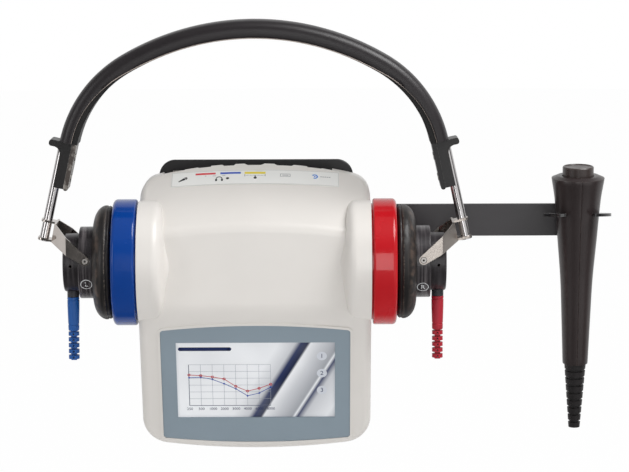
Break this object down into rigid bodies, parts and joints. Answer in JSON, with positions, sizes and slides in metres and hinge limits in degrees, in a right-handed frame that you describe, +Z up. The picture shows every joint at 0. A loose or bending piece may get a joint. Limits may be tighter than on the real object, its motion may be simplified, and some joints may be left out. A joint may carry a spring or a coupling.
{
  "type": "audiometer",
  "caption": "Wall-hung screening audiometer: sloping touch display, storage cups on its sides holding a headset, and an arm with a fork for the handswitch.",
  "frame": {"origin": "centre of the four wall bolts, on the wall plane at the plate's back", "axes": "+X to the viewer's right, along the arm that holds the handswitch; +Y into the wall; +Z up"},
  "size_m": [0.3517, 0.0835, 0.2682],
  "materials": {
    "black_plate": "satin",
    "bare_steel": "polished",
    "spring_steel": "satin",
    "chrome_rod": "polished",
    "case_grey": "satin",
    "rubber_black": "matte",
    "bezel_blue": "matte",
    "touch_glass": "gloss",
    "lcd_screen": "gloss",
    "board_green": "gloss",
    "jack_black": "gloss",
    "port_metal": "satin",
    "label_film": "satin",
    "cup_blue": "gloss",
    "cup_red": "gloss",
    "cover_black": "satin",
    "black_plastic": "satin",
    "driver_metal": "satin",
    "contact_brass": "polished",
    "boot_blue": "satin",
    "boot_red": "satin",
    "clip_black": "satin"
  },
  "bodies": {
    "console": {"wall_plate": "black_plate", "plate_studs": "bare_steel", "hanger_arm": "black_plate", "bracket_rivets": "bare_steel", "switch_fork": "black_plate", "rear_shell": "case_grey", "front_shell": "case_grey", "case_screws": "bare_steel", "rear_feet": "rubber_black", "display_bezel": "bezel_blue", "touch_panel": "touch_glass", "lcd_module": "lcd_screen", "main_board": "board_green", "board_screws": "bare_steel", "switch_jack": "jack_black", "right_jack": "jack_black", "left_jack": "jack_black", "data_port": "port_metal", "usb_port": "port_metal", "power_jack": "jack_black", "label_strip": "label_film", "left_cup": "cup_blue", "right_cup": "cup_red", "cup_screws": "bare_steel"},
    "headset": {"headband_cover": "cover_black", "headband_lining": "cover_black", "spring_band": "spring_steel", "left_block": "black_plastic", "right_block": "black_plastic", "left_band_clip": "bare_steel", "right_band_clip": "clip_black", "block_rivets": "bare_steel"},
    "left_rod": {"left_rod": "chrome_rod"},
    "left_yoke": {"left_yoke": "bare_steel", "left_pivot_pins": "bare_steel"},
    "left_earphone": {"left_housing": "black_plastic", "left_back_cap": "black_plastic", "left_cushion": "rubber_black", "left_driver": "driver_metal", "left_socket": "black_plastic", "left_cap_screws": "bare_steel"},
    "left_plug": {"left_plug_pins": "contact_brass", "left_plug_boot": "boot_blue"},
    "right_rod": {"right_rod": "chrome_rod"},
    "right_yoke": {"right_yoke": "bare_steel", "right_pivot_pins": "bare_steel"},
    "right_earphone": {"right_housing": "black_plastic", "right_back_cap": "black_plastic", "right_cushion": "rubber_black", "right_driver": "driver_metal", "right_socket": "black_plastic", "right_cap_screws": "bare_steel"},
    "right_plug": {"right_plug_pins": "contact_brass", "right_plug_boot": "boot_red"},
    "handswitch": {"switch_left_half": "black_plastic", "switch_right_half": "black_plastic", "switch_relief": "rubber_black", "micro_switch": "jack_black", "button_spring": "bare_steel"},
    "switch_button": {"switch_button": "black_plastic"}
  },
  "joints": [
    {"name": "headset_lift", "type": "slide", "parent": "console", "child": "headset", "axis": [0, 0, 1], "range_m": [0, 0.12]},
    {"name": "left_rod_slide", "type": "slide", "parent": "headset", "child": "left_rod", "axis": [-0.2164, 0, -0.9763], "range_m": [0, 0.018]},
    {"name": "left_swivel", "type": "hinge", "parent": "left_rod", "child": "left_yoke", "pos_m": [-0.1274, -0.045, 0.0205], "axis": [0.2164, 0, 0.9763], "range_deg": [-10, 10], "deforming": ["left_cushion"]},
    {"name": "left_tilt", "type": "hinge", "parent": "left_yoke", "child": "left_earphone", "pos_m": [-0.102, -0.045, 0.0038], "axis": [0, 1, 0], "range_deg": [-8, 8], "deforming": ["left_cushion"]},
    {"name": "left_plug_pull", "type": "slide", "parent": "left_earphone", "child": "left_plug", "axis": [0, 0, -1], "range_m": [0, 0.009]},
    {"name": "right_rod_slide", "type": "slide", "parent": "headset", "child": "right_rod", "axis": [0.2164, 0, -0.9763], "range_m": [0, 0.018]},
    {"name": "right_swivel", "type": "hinge", "parent": "right_rod", "child": "right_yoke", "pos_m": [0.1274, -0.045, 0.0205], "axis": [-0.2164, 0, 0.9763], "range_deg": [-10, 10], "deforming": ["right_cushion"]},
    {"name": "right_tilt", "type": "hinge", "parent": "right_yoke", "child": "right_earphone", "pos_m": [0.102, -0.045, 0.0038], "axis": [0, 1, 0], "range_deg": [-8, 8], "deforming": ["right_cushion"]},
    {"name": "right_plug_pull", "type": "slide", "parent": "right_earphone", "child": "right_plug", "axis": [0, 0, -1], "range_m": [0, 0.009]},
    {"name": "handswitch_lift", "type": "slide", "parent": "console", "child": "handswitch", "axis": [0, -0.0698, 0.9976], "range_m": [0, 0.125]},
    {"name": "button_press", "type": "slide", "parent": "handswitch", "child": "switch_button", "axis": [0, 0.0698, -0.9976], "range_m": [0, 0.0025], "stiffness_N_per_m": 600, "springref_m": -0.001, "deforming": ["button_spring"]}
  ]
}
